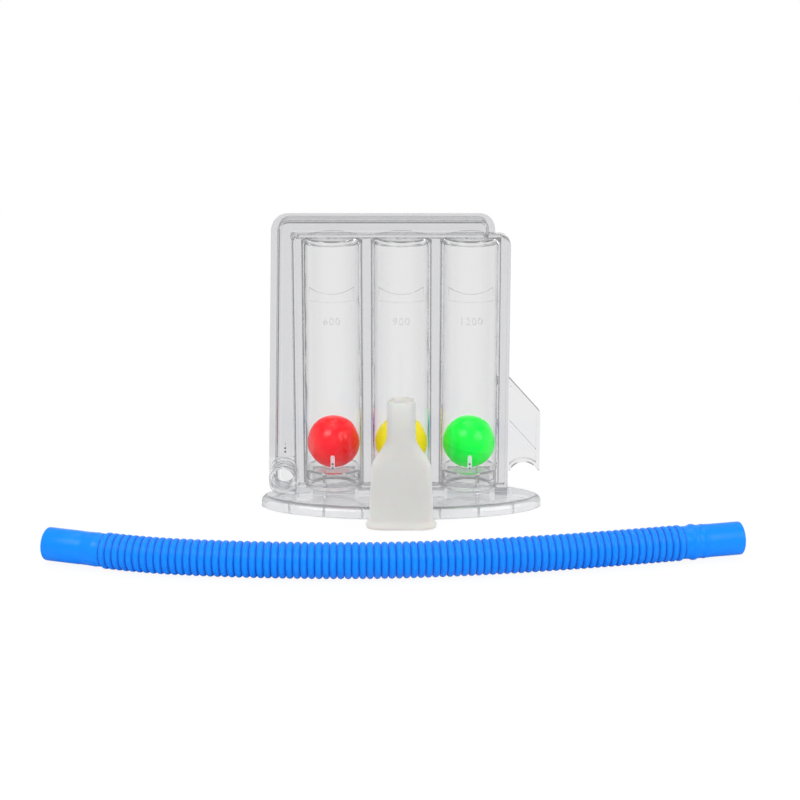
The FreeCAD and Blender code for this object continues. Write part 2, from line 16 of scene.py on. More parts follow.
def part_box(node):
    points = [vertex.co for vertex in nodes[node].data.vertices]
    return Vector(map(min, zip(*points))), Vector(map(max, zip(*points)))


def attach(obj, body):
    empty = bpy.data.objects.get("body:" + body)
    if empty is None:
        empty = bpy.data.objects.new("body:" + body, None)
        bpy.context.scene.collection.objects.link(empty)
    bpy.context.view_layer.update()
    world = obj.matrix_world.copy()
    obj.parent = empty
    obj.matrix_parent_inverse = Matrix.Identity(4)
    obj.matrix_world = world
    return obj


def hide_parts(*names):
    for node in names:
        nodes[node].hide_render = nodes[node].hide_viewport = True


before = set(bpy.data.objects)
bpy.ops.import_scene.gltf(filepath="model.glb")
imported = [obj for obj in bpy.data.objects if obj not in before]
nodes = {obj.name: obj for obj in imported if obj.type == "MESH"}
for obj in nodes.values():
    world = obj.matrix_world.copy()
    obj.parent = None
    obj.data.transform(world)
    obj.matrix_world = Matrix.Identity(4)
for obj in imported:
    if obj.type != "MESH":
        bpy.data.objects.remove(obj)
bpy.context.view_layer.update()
MM = 0.001
print("CAD nodes:", ", ".join(sorted(nodes)))

# %% [markdown]
# The photograph is taken from the front, a little above the table, with a long lens. A long lens flattens
# depth, so the tubes stay parallel. The camera looks at the middle of the device from 15 degrees above.

# %% Camera
LOOK_AT = Vector((-0.57, 0.0, 51.94)) * MM
CAMERA_DISTANCE = 950 * MM
CAMERA_TILT = math.radians(15)
LENS_LENGTH = 90
SENSOR_WIDTH = 36
FAR_CLIP = 50

camera_data = bpy.data.cameras.new("camera")
camera_data.lens = LENS_LENGTH
camera_data.sensor_width = SENSOR_WIDTH
camera_data.clip_end = FAR_CLIP
camera = bpy.data.objects.new("camera", camera_data)
bpy.context.scene.collection.objects.link(camera)
camera.location = LOOK_AT + CAMERA_DISTANCE * Vector((0, -math.cos(CAMERA_TILT), math.sin(CAMERA_TILT)))
camera.rotation_euler = (math.pi / 2 - CAMERA_TILT, 0, 0)
bpy.context.scene.camera = camera
print("camera at", [round(v, 3) for v in camera.location])

# %% [markdown]
# The hose lies in one gentle bow. A NURBS curve through a handful of control points gives a line without
# kinks, and a mesh made from that curve gives the points that everything on the hose follows.

# %% Hose route
HOSE_Z = 8.0
ROUTE_RESOLUTION = 32
HOSE_ROUTE = (
    (-129.5, -90.0),
    (-113.0, -95.7),
    (-84.0, -100.2),
    (-50.0, -103.0),
    (-10.0, -103.6),
    (28.0, -99.8),
    (62.0, -94.0),
    (95.0, -86.9),
    (123.5, -79.9),
)
route = bpy.data.curves.new("hose_route", "CURVE")
route.dimensions = "3D"
route.resolution_u = ROUTE_RESOLUTION
spline = route.splines.new("NURBS")
spline.points.add(len(HOSE_ROUTE) - 1)
for point, (x, y) in zip(spline.points, HOSE_ROUTE):
    point.co = (x * MM, y * MM, HOSE_Z * MM, 1)
spline.order_u = 3
spline.use_endpoint_u = True
route_object = bpy.data.objects.new("hose_route", route)
bpy.context.scene.collection.objects.link(route_object)
bpy.context.view_layer.update()
route_mesh = bpy.data.meshes.new_from_object(route_object)
path = [v.co.copy() for v in route_mesh.vertices]
bpy.data.objects.remove(route_object)
stations = [0.0]
for here, after in zip(path, path[1:]):
    stations.append(stations[-1] + (after - here).length)
hose_length = stations[-1]
print(f"hose line: {len(path)} points, {hose_length / MM:.1f} mm")

# %% [markdown]
# Round pieces on the hose are first made straight, by spinning a profile about the X axis, and are then laid
# along the route: a vertex keeps its distance from the axis, and its X says how far along the route it sits.
# Past either end the route runs on straight, which is where the two cuffs are.


# %% Helpers for meshes
MERGE_DISTANCE = 0.001 * MM
UP = Vector((0, 0, 1))


def finish_piece(name, bm, body, replaced=()):
    """Turns a bmesh into a smooth-shaded piece that rides on a CAD body."""
    mesh = bpy.data.meshes.new(name)
    for face in bm.faces:
        face.smooth = True
    bm.to_mesh(mesh)
    bm.free()
    piece = bpy.data.objects.new(name, mesh)
    bpy.context.scene.collection.objects.link(piece)
    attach(piece, body)
    if replaced:
        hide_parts(*replaced)
    print(f"{name}: {len(mesh.polygons)} faces")
    return piece


def spun(profile, steps):
    """A closed ring made by spinning a closed (x, radius) profile in millimetres about the X axis."""
    bm = bmesh.new()
    verts = [bm.verts.new((x * MM, 0, r * MM)) for x, r in profile]
    edges = [bm.edges.new((a, b)) for a, b in zip(verts, verts[1:] + verts[:1])]
    bmesh.ops.spin(
        bm, geom=verts + edges, cent=(0, 0, 0), axis=(1, 0, 0), angle=2 * math.pi, steps=steps, use_merge=True
    )
    bmesh.ops.remove_doubles(bm, verts=bm.verts, dist=MERGE_DISTANCE)
    bmesh.ops.recalc_face_normals(bm, faces=bm.faces)
    return bm


def route_place(s):
    """The point at distance s along the route, and the route's direction there."""
    s_inside = min(max(s, 0.0), hose_length)
    i = min(sum(1 for station in stations[1:-1] if station <= s_inside), len(path) - 2)
    share = (s_inside - stations[i]) / (stations[i + 1] - stations[i])
    before = path[i + 1] - path[max(i - 1, 0)]
    after = path[min(i + 2, len(path) - 1)] - path[i]
    direction = before.normalized().lerp(after.normalized(), share).normalized()
    return path[i].lerp(path[i + 1], share) + direction * (s - s_inside), direction


def lay_along_route(bm):
    """Bends a straight piece along the hose's route."""
    places = {}
    for v in bm.verts:
        key = round(v.co.x / MM, 4)
        if key not in places:
            places[key] = route_place(v.co.x)
        centre, ahead = places[key]
        v.co = centre + UP.cross(ahead) * v.co.y + UP * v.co.z


# %% [markdown]
# The hose is blow moulded in soft polyethylene. Its crests are round and its grooves narrower, which is what
# lets it bend. Ten points a pitch are enough for a round crest, and the inner wall needs fewer. Each point
# keeps its height between groove and crest, for the painted shade that the material puts in the grooves.

# %% Corrugated hose
# About 80 rings can be made out in the photograph
HOSE_RINGS = 82
CREST_R = 8.0
GROOVE_R = 6.85
HOSE_BORE_R = 6.3
CREST_ROUNDNESS = 0.55
WAVE_POINTS = 10
ROUND_STEPS = 40
pitch = hose_length / MM / HOSE_RINGS
wave = []
for ring in range(HOSE_RINGS):
    for i in range(WAVE_POINTS):
        phase = i / WAVE_POINTS
        lift = math.sin(math.pi * phase) ** CREST_ROUNDNESS
        wave.append(((ring + phase) * pitch, GROOVE_R + (CREST_R - GROOVE_R) * lift))
wave.append((hose_length / MM, GROOVE_R))
inner = [(hose_length / MM * i / HOSE_RINGS, HOSE_BORE_R) for i in range(HOSE_RINGS, -1, -1)]
hose_bm = spun(wave + inner, ROUND_STEPS)
crest_layer = hose_bm.verts.layers.float.new("crest")
for v in hose_bm.verts:
    radius = math.hypot(v.co.y, v.co.z) / MM
    v[crest_layer] = max(0.0, (radius - GROOVE_R) / (CREST_R - GROOVE_R))
lay_along_route(hose_bm)
hose = finish_piece("corrugated_hose", hose_bm, "loose_hose", ["hose"])

# %% [markdown]
# The cuffs are plain sleeves that stretch over a port. The right one has a bead near the hose and two fine
# steps, and the left one only faint steps from the mould. Their mouths have a small round edge.

# %% Cuffs
CUFF_LENGTH = 28.0
CUFF_R = 7.4
CUFF_BORE_R = 6.65
BEAD_R = 8.0
HOSE_END_R = 7.2
# Each pair is: distance from the hose's end, radius
right_outside = (
    (0.0, HOSE_END_R),
    (1.2, 7.25),
    (3.4, 7.35),
    (4.1, 7.75),
    (4.7, BEAD_R),
    (5.7, BEAD_R),
    (6.3, 7.75),
    (7.0, CUFF_R),
    (9.4, CUFF_R),
    (9.7, 7.62),
    (10.4, 7.62),
    (10.7, CUFF_R + 0.05),
    (12.3, CUFF_R + 0.05),
    (12.6, CUFF_R - 0.03),
    (27.5, CUFF_R),
    (27.9, CUFF_R - 0.15),
    (CUFF_LENGTH, CUFF_R - 0.35),
)
left_outside = (
    (0.0, HOSE_END_R),
    (1.5, 7.3),
    (3.0, CUFF_R),
    (3.4, CUFF_R + 0.12),
    (4.2, CUFF_R + 0.12),
    (4.6, CUFF_R),
    (6.4, CUFF_R),
    (6.6, CUFF_R - 0.08),
    (11.6, CUFF_R - 0.08),
    (11.8, CUFF_R),
    (27.5, CUFF_R),
    (27.9, CUFF_R - 0.15),
    (CUFF_LENGTH, CUFF_R - 0.35),
)
inside = ((CUFF_LENGTH, CUFF_BORE_R + 0.15), (CUFF_LENGTH - 0.5, CUFF_BORE_R), (0.0, CUFF_BORE_R))
cuffs = []
for side, outside in (("left", left_outside), ("right", right_outside)):
    cuff_bm = spun(outside + inside, 2 * ROUND_STEPS)
    for v in cuff_bm.verts:
        v.co.x = -v.co.x if side == "left" else v.co.x + hose_length
    lay_along_route(cuff_bm)
    bmesh.ops.recalc_face_normals(cuff_bm, faces=cuff_bm.faces)
    cuff = finish_piece("cuff_" + side, cuff_bm, "loose_hose", ["hose_cuff_" + side])
    cuffs.append(cuff)

# %% [markdown]
# The hose and its two cuffs are one cord. This cell only prints how many cuffs it has.

# %% Cord
print("cord with", len(cuffs), "cuffs")

# %% [markdown]
# Each ball is two thin shells welded together, so a fine seam runs round it. A UV sphere has its rings where
# a seam would be: one cut on each side of the equator leaves a narrow band, and the equator itself is pushed
# out a little. Each ball has come to rest with its seam tilted another way.

# %% Balls
BALL_R = 12.5
BALL_SEGMENTS = 72
BALL_RINGS = 36
SEAM_HALF = 0.16
SEAM_PROUD = 0.05
BALL_TILTS = {"red": (14, -6), "yellow": (-20, 10), "green": (8, 12)}


def ball_mesh(centre, tilt):
    """A ball with a proud seam round its equator, turned a little as it came to rest."""
    bm = bmesh.new()
    bmesh.ops.create_uvsphere(bm, u_segments=BALL_SEGMENTS, v_segments=BALL_RINGS, radius=BALL_R * MM)
    for z in (-SEAM_HALF, SEAM_HALF):
        everything = bm.verts[:] + bm.edges[:] + bm.faces[:]
        bmesh.ops.bisect_plane(bm, geom=everything, plane_co=(0, 0, z * MM), plane_no=(0, 0, 1))
    for v in bm.verts:
        if abs(v.co.z) < SEAM_HALF / 2 * MM:
            v.co *= 1 + SEAM_PROUD / BALL_R
    turn = Matrix.Rotation(math.radians(tilt[0]), 3, "X") @ Matrix.Rotation(math.radians(tilt[1]), 3, "Y")
    bmesh.ops.rotate(bm, verts=bm.verts, cent=(0, 0, 0), matrix=turn)
    bmesh.ops.translate(bm, verts=bm.verts, vec=centre)
    return bm


balls = {}
for colour, tilt in BALL_TILTS.items():
    low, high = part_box("ball_" + colour)
    balls[colour] = finish_piece(
        "hollow_ball_" + colour,
        ball_mesh((low + high) / 2, tilt),
        colour + "_ball",
        ["ball_" + colour],
    )

# %% [markdown]
# The mouthpiece is one open shell, described by rings. They start at the neck, where the section is a circle,
# and go down to the bite end, where it is flat, with a soft lip. Then they turn inside and come back up,
# which gives the wall.

# %% Sections of the mouthpiece
MOUTH_Y = -34.2
MOUTH_WALL = 1.3
WAIST_REACH = 8.0
INSIDE_FROM_Z = 3.0
INSIDE_TO_Z = 28.0
# Each row is: height, half width, half depth, squareness of the section, narrowing in the middle
OUTSIDE_RINGS = (
    (60.4, 6.6, 6.6, 2.0, 0.0),
    (59.4, 6.6, 6.6, 2.0, 0.0),
    (50.0, 6.6, 6.6, 2.0, 0.0),
    (44.0, 6.6, 6.6, 2.0, 0.0),
    (42.0, 6.75, 6.5, 2.0, 0.0),
    (39.5, 7.9, 6.3, 2.15, 0.0),
    (36.0, 10.2, 6.1, 2.5, 0.0),
    (32.5, 12.6, 5.9, 2.9, 0.0),
    (30.0, 13.8, 5.8, 3.0, 0.0),
    (27.5, 14.0, 5.75, 3.0, 0.01),
    (16.0, 14.5, 5.65, 3.0, 0.05),
    (5.5, 14.85, 5.5, 3.0, 0.08),
    (3.6, 15.0, 5.6, 3.0, 0.09),
    (2.6, 15.9, 6.4, 3.0, 0.1),
    (1.8, 16.5, 6.85, 3.0, 0.1),
    (0.8, 16.65, 6.95, 3.0, 0.1),
    (0.1, 16.2, 6.6, 3.0, 0.1),
)
BITE_END_RINGS = (
    (0.0, 14.2, 4.6, 3.0, 0.1),
    (1.0, 13.6, 4.25, 3.0, 0.1),
)
NECK_RINGS = (
    (32.0, 11.4, 4.6, 2.9, 0.0),
    (36.0, 8.6, 4.9, 2.5, 0.0),
    (40.0, 5.8, 4.9, 2.1, 0.0),
    (43.0, 4.9, 4.9, 2.0, 0.0),
    (50.0, 4.9, 4.9, 2.0, 0.0),
    (60.6, 4.9, 4.9, 2.0, 0.0),
    (61.0, 5.2, 5.2, 2.0, 0.0),
    (61.0, 6.2, 6.2, 2.0, 0.0),
)


def section_place(angle, half_width, half_depth, squareness, waist, z):
    """A point of a flattened ring that may be a little narrower in its middle."""
    c, s = math.cos(angle), math.sin(angle)
    x = half_width * math.copysign(abs(c) ** (2 / squareness), c)
    y = half_depth * math.copysign(abs(s) ** (2 / squareness), s)
    y *= 1 - waist * math.exp(-((x / WAIST_REACH) ** 2))
    return Vector((x * MM, (MOUTH_Y + y) * MM, z * MM))


rings = list(OUTSIDE_RINGS + BITE_END_RINGS)
for z, width, depth, squareness, waist in reversed(OUTSIDE_RINGS):
    if INSIDE_FROM_Z <= z <= INSIDE_TO_Z:
        rings.append((z, width - MOUTH_WALL, depth - MOUTH_WALL, squareness, waist))
rings += NECK_RINGS
print(len(rings), "rings")

# %% [markdown]
# The first ring is a circle of points, and each new one is extruded from the last and moved to its section.
# An extrusion gives its points in no special order, so each is matched with the point that it came from. A
# bridge closes the shell at the neck's end, and one level of subdivision rounds all edges.

# %% Mouthpiece
RING_VERTS = 48
mouth_bm = bmesh.new()
bmesh.ops.create_circle(mouth_bm, segments=RING_VERTS, radius=1.0)
ring_verts = list(mouth_bm.verts)
ring_edges = list(mouth_bm.edges)
angles = [math.atan2(v.co.y, v.co.x) for v in ring_verts]


def move_ring(verts, row):
    """Moves a ring's points to the section that a row describes."""
    z, width, depth, squareness, waist = row
    for v, angle in zip(verts, angles):
        v.co = section_place(angle, width, depth, squareness, waist, z)


move_ring(ring_verts, rings[0])
for row in rings[1:]:
    grown = bmesh.ops.extrude_edge_only(mouth_bm, edges=ring_edges)["geom"]
    new_edges = [g for g in grown if isinstance(g, bmesh.types.BMEdge) and g.is_boundary]
    new_verts = [g for g in grown if isinstance(g, bmesh.types.BMVert)]
    ordered = [None] * RING_VERTS
    for v in new_verts:
        partner = next(e.other_vert(v) for e in v.link_edges if e.other_vert(v) in ring_verts)
        ordered[ring_verts.index(partner)] = v
    ring_verts, ring_edges = ordered, new_edges
    move_ring(ring_verts, row)
open_edges = [e for e in mouth_bm.edges if e.is_boundary]
bmesh.ops.bridge_loops(mouth_bm, edges=open_edges)
bmesh.ops.recalc_face_normals(mouth_bm, faces=mouth_bm.faces)
mouthpiece = finish_piece(
    "flat_mouthpiece", mouth_bm, "loose_mouthpiece", ["mouthpiece"]
)
rounding = mouthpiece.modifiers.new("rounding", "SUBSURF")
rounding.levels = rounding.render_levels = 1

# %% [markdown]
# The two clear housings have three finishes: most is polished, the flat front and back walls have a fine
# texture from the mould, and the small ribs beside the balls are frosted. A face's place and normal tell
# which one it has.

# %% Finishes of the clear walls
POLISHED, SATIN, FROSTED = range(3)
FLAT_NORMAL = 0.97
FLAT_REACH = 5.0
MANIFOLD_Z = 130.0
CHANNEL_RIGHT_X = -50.4
TUBE_PITCH = 32.3
TUBE_FOOT_R = 14.5
TUBE_XS = {"red": -TUBE_PITCH, "yellow": 0.0, "green": TUBE_PITCH}
MARK_HALF_WIDTH = 1.05
MARK_LOW_Z = 21.9
MARK_HIGH_Z = 28.9


def is_flat_wall(face):
    """True for a face of the flat front and back walls, and False on the round tubes."""
    centre = face.calc_center_median() / MM
    in_duct = centre.x < CHANNEL_RIGHT_X or centre.z > MANIFOLD_Z
    return abs(face.normal.y) > FLAT_NORMAL and (in_duct or abs(centre.y) < FLAT_REACH)


def is_mark(face):
    """True for a face of the small rib on the front of a tube."""
    centre = face.calc_center_median() / MM
    beside = min(abs(centre.x - x) for x in TUBE_XS.values())
    on_rib = beside < MARK_HALF_WIDTH and MARK_LOW_Z < centre.z < MARK_HIGH_Z
    return on_rib and centre.y < -TUBE_FOOT_R


def finish_of(face):
    """Which of the three finishes a face of a housing has."""
    if is_mark(face):
        return FROSTED
    return SATIN if is_flat_wall(face) else POLISHED


print("three finishes for the clear walls")

# %% [markdown]
# The clear mouldings keep the CAD shapes. A CAD mesh comes as loose triangles, so a copy is merged first,
# its sharp edges are marked by their angle, and weighted normals keep the flat walls flat beside round ones.
# That matters in clear plastic, because every wobble of a normal bends the light that passes through. Each
# piece also shrinks by a hair, so that pieces which touch keep two faces, with a thin line of air between.

# %% Clear mouldings
SHARP_ANGLE = math.radians(32)
CLEAR_SHRINK = 0.02
CAD_MERGE_DISTANCE = 0.002 * MM
CLEAR_NODES = (
    "front_housing",
    "rear_housing",
    "inlet_port",
    "base_tray",
    "floor_cup_red",
    "floor_cup_yellow",
    "floor_cup_green",
)
clear_pieces = []
for name in CLEAR_NODES:
    clear_bm = bmesh.new()
    clear_bm.from_mesh(nodes[name].data)
    bmesh.ops.remove_doubles(clear_bm, verts=clear_bm.verts, dist=CAD_MERGE_DISTANCE)
    for edge in clear_bm.edges:
        edge.smooth = len(edge.link_faces) == 2 and edge.calc_face_angle(0) < SHARP_ANGLE
    for layer in list(clear_bm.loops.layers.uv):
        clear_bm.loops.layers.uv.remove(layer)
    clear_bm.normal_update()
    if name.endswith("housing"):
        for face in clear_bm.faces:
            face.material_index = finish_of(face)
    for v in clear_bm.verts:
        v.co -= v.normal * CLEAR_SHRINK * MM
    piece = finish_piece("clear_" + name, clear_bm, "device", [name])
    weights = piece.modifiers.new("flat walls", "WEIGHTED_NORMAL")
    weights.keep_sharp = True
    clear_pieces.append(piece)

# %% [markdown]
# The tubes carry fine moulded details on their fronts: a frame with a hollow top edge, and the air flow in
# millilitres a second that lifts the ball. The lines are thin beads, made from bevelled curves, and the
# figures are text with a little thickness. Both are bent round the tube, point by point.

# %% Helpers for the moulded scales
TUBE_TOP_R = 14.3
TUBE_FOOT_Z = 9.6
TUBE_HEIGHT = 119.5
FIGURE_SIZE = 5.0
FIGURE_Z = 91.6
FIGURE_PROUD = 0.18
FIGURE_SPACING = 1.15


def tube_front(axis_x, across, z, proud):
    """The point on a tube's front at a distance across from its middle, standing a little proud."""
    radius = TUBE_FOOT_R + (TUBE_TOP_R - TUBE_FOOT_R) * (z - TUBE_FOOT_Z) / TUBE_HEIGHT
    y = -math.sqrt(radius**2 - across**2)
    outward = 1 + proud / radius
    return Vector(((axis_x + across * outward) * MM, y * outward * MM, z * MM))


def mesh_of(data):
    """The mesh that a curve or a text makes, without leaving an object behind."""
    holder = bpy.data.objects.new("holder", data)
    bpy.context.scene.collection.objects.link(holder)
    bpy.context.view_layer.update()
    mesh = bpy.data.meshes.new_from_object(holder.evaluated_get(bpy.context.evaluated_depsgraph_get()))
    bpy.data.objects.remove(holder)
    return mesh


def bead(points, half):
    """A thin round bead through the points."""
    curve = bpy.data.curves.new("bead", "CURVE")
    curve.dimensions = "3D"
    curve.bevel_depth = half * MM
    curve.bevel_resolution = 1
    curve.use_fill_caps = True
    line = curve.splines.new("POLY")
    line.points.add(len(points) - 1)
    for point, place in zip(line.points, points):
        point.co = (*place, 1)
    return mesh_of(curve)


def figures(text, axis_x):
    """Raised figures that follow the tube's round front."""
    curve = bpy.data.curves.new("figures", "FONT")
    curve.body = text
    curve.size = FIGURE_SIZE
    curve.extrude = FIGURE_PROUD
    curve.align_x = "CENTER"
    curve.space_character = FIGURE_SPACING
    mesh = mesh_of(curve)
    for v in mesh.vertices:
        v.co = tube_front(axis_x, v.co.x, FIGURE_Z + v.co.y, v.co.z)
    return mesh


# %% [markdown]
# The frame's top edge sags like a shallow bowl. Its foot is a straight fainter line, and a short faint line
# goes down from each corner. One mesh holds all of a tube's details.

# %% Moulded scales
FRAME_HALF_WIDTH = 10.3
FRAME_CORNER_Z = 108.6
FRAME_MIDDLE_Z = 106.2
FRAME_SIDE_Z = 104.6
FRAME_FOOT_Z = 102.4
FRAME_STEPS = 16
BEAD_HALF = 0.16
FAINT_HALF = 0.08
FIGURES = {"red": "600", "yellow": "900", "green": "1200"}
scales = []
for colour, axis_x in TUBE_XS.items():
    hollow_edge = []
    foot_edge = []
    for i in range(FRAME_STEPS + 1):
        across = FRAME_HALF_WIDTH * (2 * i / FRAME_STEPS - 1)
        rise = (FRAME_CORNER_Z - FRAME_MIDDLE_Z) * (across / FRAME_HALF_WIDTH) ** 2
        hollow_edge.append(tube_front(axis_x, across, FRAME_MIDDLE_Z + rise, 0.0))
        foot_edge.append(tube_front(axis_x, across, FRAME_FOOT_Z, 0.0))
    scale_bm = bmesh.new()
    scale_bm.from_mesh(bead(hollow_edge, BEAD_HALF))
    scale_bm.from_mesh(bead(foot_edge, FAINT_HALF))
    for side in (-FRAME_HALF_WIDTH, FRAME_HALF_WIDTH):
        side_edge = [tube_front(axis_x, side, z, 0.0) for z in (FRAME_CORNER_Z, FRAME_SIDE_Z)]
        scale_bm.from_mesh(bead(side_edge, FAINT_HALF))
    scale_bm.from_mesh(figures(FIGURES[colour], axis_x))
    scales.append(finish_piece("flow_scale_" + colour, scale_bm, "device"))

# %% [markdown]
# Each small rib beside a ball carries two dark specks, and two more with a short tick stand above the port.
# They are pips left by the mould, so they are made as little domes from a sphere, and their dark colour is
# painted shade.

# %% Mould pips
PIP_R = 0.48
PIP_PROUD = 0.4
RIB_PIPS_Z = (22.6, 24.6)
PORT_PIPS = ((-55.3, 27.1), (-55.3, 28.9))
PANEL_Y = -2.6
TICK = ((-55.3, 30.2), (-55.0, 31.6))
pip_places = []
for axis_x in TUBE_XS.values():
    for z in RIB_PIPS_Z:
        pip_places.append(tube_front(axis_x, 0.0, z, PIP_PROUD))
for x, z in PORT_PIPS:
    pip_places.append(Vector((x, PANEL_Y, z)) * MM)
pips_bm = bmesh.new()
for pip_place in pip_places:
    place_matrix = Matrix.Translation(pip_place)
    bmesh.ops.create_icosphere(pips_bm, subdivisions=2, radius=PIP_R * MM, matrix=place_matrix)
pips_bm.from_mesh(bead([Vector((x, PANEL_Y, z)) * MM for x, z in TICK], FAINT_HALF))
pips = finish_piece("mould_pips", pips_bm, "device")

# %% [markdown]
# Colours are written as sRGB hex values, as a painter would pick them from a chart, and one function turns
# them to the linear numbers that the renderer works in. One more function adds a node with its settings.


# %% Helpers for materials
WHITE = (1, 1, 1, 1)


def linear(hex_colour):
    """The linear colour of an sRGB hex value."""
    parts = [int(hex_colour[i : i + 2], 16) / 255 for i in (0, 2, 4)]
    parts = [c / 12.92 if c <= 0.04045 else ((c + 0.055) / 1.055) ** 2.4 for c in parts]
    return (*parts, 1.0)


def add(tree, kind, inputs=None, **settings):
    """Adds a node, sets its properties, and fills or links its inputs."""
    made = tree.nodes.new(kind)
    for key, value in settings.items():
        setattr(made, key, value)
    for key, value in (inputs or {}).items():
        if isinstance(value, bpy.types.NodeSocket):
            tree.links.new(value, made.inputs[key])
        else:
            made.inputs[key].default_value = value
    return made


def new_material(name):
    """A material with an empty node tree."""
    material = bpy.data.materials.new(name)
    material.use_nodes = True
    material.node_tree.nodes.clear()
    return material, material.node_tree


# %% [markdown]
# Polystyrene is the usual clear plastic of such a device: it is glassy, bends light more than acrylic, and
# comes polished from the mould. The eye knows it by thin dark and bright lines at every edge. Its tint turns
# darker towards the edges, which is painted shade that deepens the dark lines. Light passes it on its way to
# the balls, which Transparent for shadow rays gives without the noise of real caustics.
#
# Two things keep the many walls calm. A grey mirror tint dims the reflections, and light that is still
# trapped inside after seven bounces gets a soft level, where it would otherwise end in black.

# %% Clear polystyrene
POLYSTYRENE_IOR = 1.57
EDGE_BLEND = 0.25
SHADOW_TINT = "f4f5f6"
TRAPPED_AFTER = 7.5


def clear_plastic(name, tints_with_painted_edge_shade, mirror_tint, roughness, ior, deep_glow, clear=1.0, ripple=None):
    """Clear plastic: a face-on tint and a darker edge-on tint of painted shade for each wall that light
    passes, and flow ripples.
    """
    material, tree = new_material(name)
    grazing = add(tree, "ShaderNodeLayerWeight", {"Blend": EDGE_BLEND})
    # The edge-on tint is painted shade: the colour darkens towards the edges
    tint = add(
        tree,
        "ShaderNodeMix",
        {"Factor": grazing.outputs["Facing"], 6: linear(tints_with_painted_edge_shade[0]), 7: linear(tints_with_painted_edge_shade[1])},
        data_type="RGBA",
    )
    glass = add(
        tree,
        "ShaderNodeBsdfPrincipled",
        {"Base Color": tint.outputs[2], "Roughness": roughness, "IOR": ior, "Transmission Weight": clear},
    )
    glass.inputs["Specular Tint"].default_value = linear(mirror_tint)
    if ripple:
        place = add(tree, "ShaderNodeTexCoord")
        flow_lines = add(
            tree,
            "ShaderNodeTexNoise",
            {"Vector": place.outputs["Object"], "Scale": 1 / (ripple["size"] * MM), "Detail": 1.0},
        )
        bump = add(
            tree,
            "ShaderNodeBump",
            {"Strength": 1.0, "Distance": ripple["depth"] * MM, "Height": flow_lines.outputs["Fac"]},
        )
        tree.links.new(bump.outputs["Normal"], glass.inputs["Normal"])
    light_path = add(tree, "ShaderNodeLightPath")
    see_through = add(tree, "ShaderNodeBsdfTransparent", {"Color": linear(SHADOW_TINT)})
    lit = add(
        tree,
        "ShaderNodeMixShader",
        {0: light_path.outputs["Is Shadow Ray"], 1: glass.outputs["BSDF"], 2: see_through.outputs["BSDF"]},
    )
    is_deep = add(
        tree,
        "ShaderNodeMath",
        {0: light_path.outputs["Ray Depth"], 1: TRAPPED_AFTER},
        operation="GREATER_THAN",
    )
    trapped = add(tree, "ShaderNodeEmission", {"Color": WHITE, "Strength": deep_glow})
    whole = add(
        tree,
        "ShaderNodeMixShader",
        {0: is_deep.outputs[0], 1: lit.outputs["Shader"], 2: trapped.outputs["Emission"]},
    )
    add(tree, "ShaderNodeOutputMaterial", {"Surface": whole.outputs["Shader"]})
    return material


def dull_polystyrene(name, colour, roughness, clear):
    """Polystyrene that lets only a part of the light through."""
    material, tree = new_material(name)
    surface = add(
        tree,
        "ShaderNodeBsdfPrincipled",
        {
            "Base Color": linear(colour),
            "Roughness": roughness,
            "IOR": POLYSTYRENE_IOR,
            "Transmission Weight": clear,
        },
    )
    add(tree, "ShaderNodeOutputMaterial", {"Surface": surface.outputs["BSDF"]})
    return material


# %% [markdown]
# The same plastic looks different from piece to piece. The thin cups hardly bend the light, and the thick
# base and the port show flow ripples and scatter a little of it. The sizes and depths of the ripples are in
# millimetres.

# %% Materials of the clear pieces
# Polished walls: glassy, with sharp dark and bright lines along the edges, deepened by the painted edge shade
polished = clear_plastic(
    "clear_polystyrene_polished",
    tints_with_painted_edge_shade=("f3f3f3", "cbcbd0"),
    mirror_tint="929292",
    roughness=0.02,
    ior=POLYSTYRENE_IOR,
    deep_glow=0.35,
)
# Flat walls with a fine texture: calmer and slightly greyer than the polished ones
satin = clear_plastic(
    "clear_polystyrene_fine_texture",
    tints_with_painted_edge_shade=("ebebec", "c2c2c8"),
    mirror_tint="868686",
    roughness=0.05,
    ior=POLYSTYRENE_IOR,
    deep_glow=0.35,
)
# Cups under the balls: pale and thin, so that the balls stand out before them
thin_cup = clear_plastic(
    "clear_polystyrene_thin_cup",
    tints_with_painted_edge_shade=("fcfcfc", "e4e4e6"),
    mirror_tint="b4b4b4",
    roughness=0.02,
    ior=1.2,
    deep_glow=0.8,
)
# The base: a streaky grey deck with a bright rim
base_clear = clear_plastic(
    "clear_polystyrene_base",
    tints_with_painted_edge_shade=("e9e9ea", "b8b8be"),
    mirror_tint="e8e8e8",
    roughness=0.03,
    ior=1.5,
    deep_glow=0.6,
    clear=0.82,
    ripple={"size": 6.0, "depth": 0.2},
)
# The port: small ripples, because it is short and thick
port_clear = clear_plastic(
    "clear_polystyrene_port",
    tints_with_painted_edge_shade=("f0f0f1", "c4c4ca"),
    mirror_tint="c8c8c8",
    roughness=0.03,
    ior=1.5,
    deep_glow=0.6,
    clear=0.9,
    ripple={"size": 2.5, "depth": 0.3},
)
# Frosted ribs: pale bars that stand out before the balls
frosted = dull_polystyrene("clear_polystyrene_frosted", "e8e8ec", roughness=0.5, clear=0.35)
# Mould pips: dark specks of painted shade, because so small a dome bends all light away
pip_painted_shade = dull_polystyrene("clear_polystyrene_dark_speck", "55555c", roughness=0.2, clear=0.3)
print("clear materials:", polished.name, satin.name, thin_cup.name, base_clear.name, port_clear.name)

# %% [markdown]
# Each clear piece gets three materials, in the order of the three finishes that its faces ask for. The cups,
# the base and the port have a first material of their own.

# %% Materials on the clear pieces
OWN_MATERIALS = {"clear_base_tray": base_clear, "clear_inlet_port": port_clear}
for colour in TUBE_XS:
    OWN_MATERIALS["clear_floor_cup_" + colour] = thin_cup
for piece in clear_pieces + scales:
    for material in (OWN_MATERIALS.get(piece.name, polished), satin, frosted):
        piece.data.materials.append(material)
pips.data.materials.append(pip_painted_shade)
print("clear materials on", len(clear_pieces + scales) + 1, "pieces")
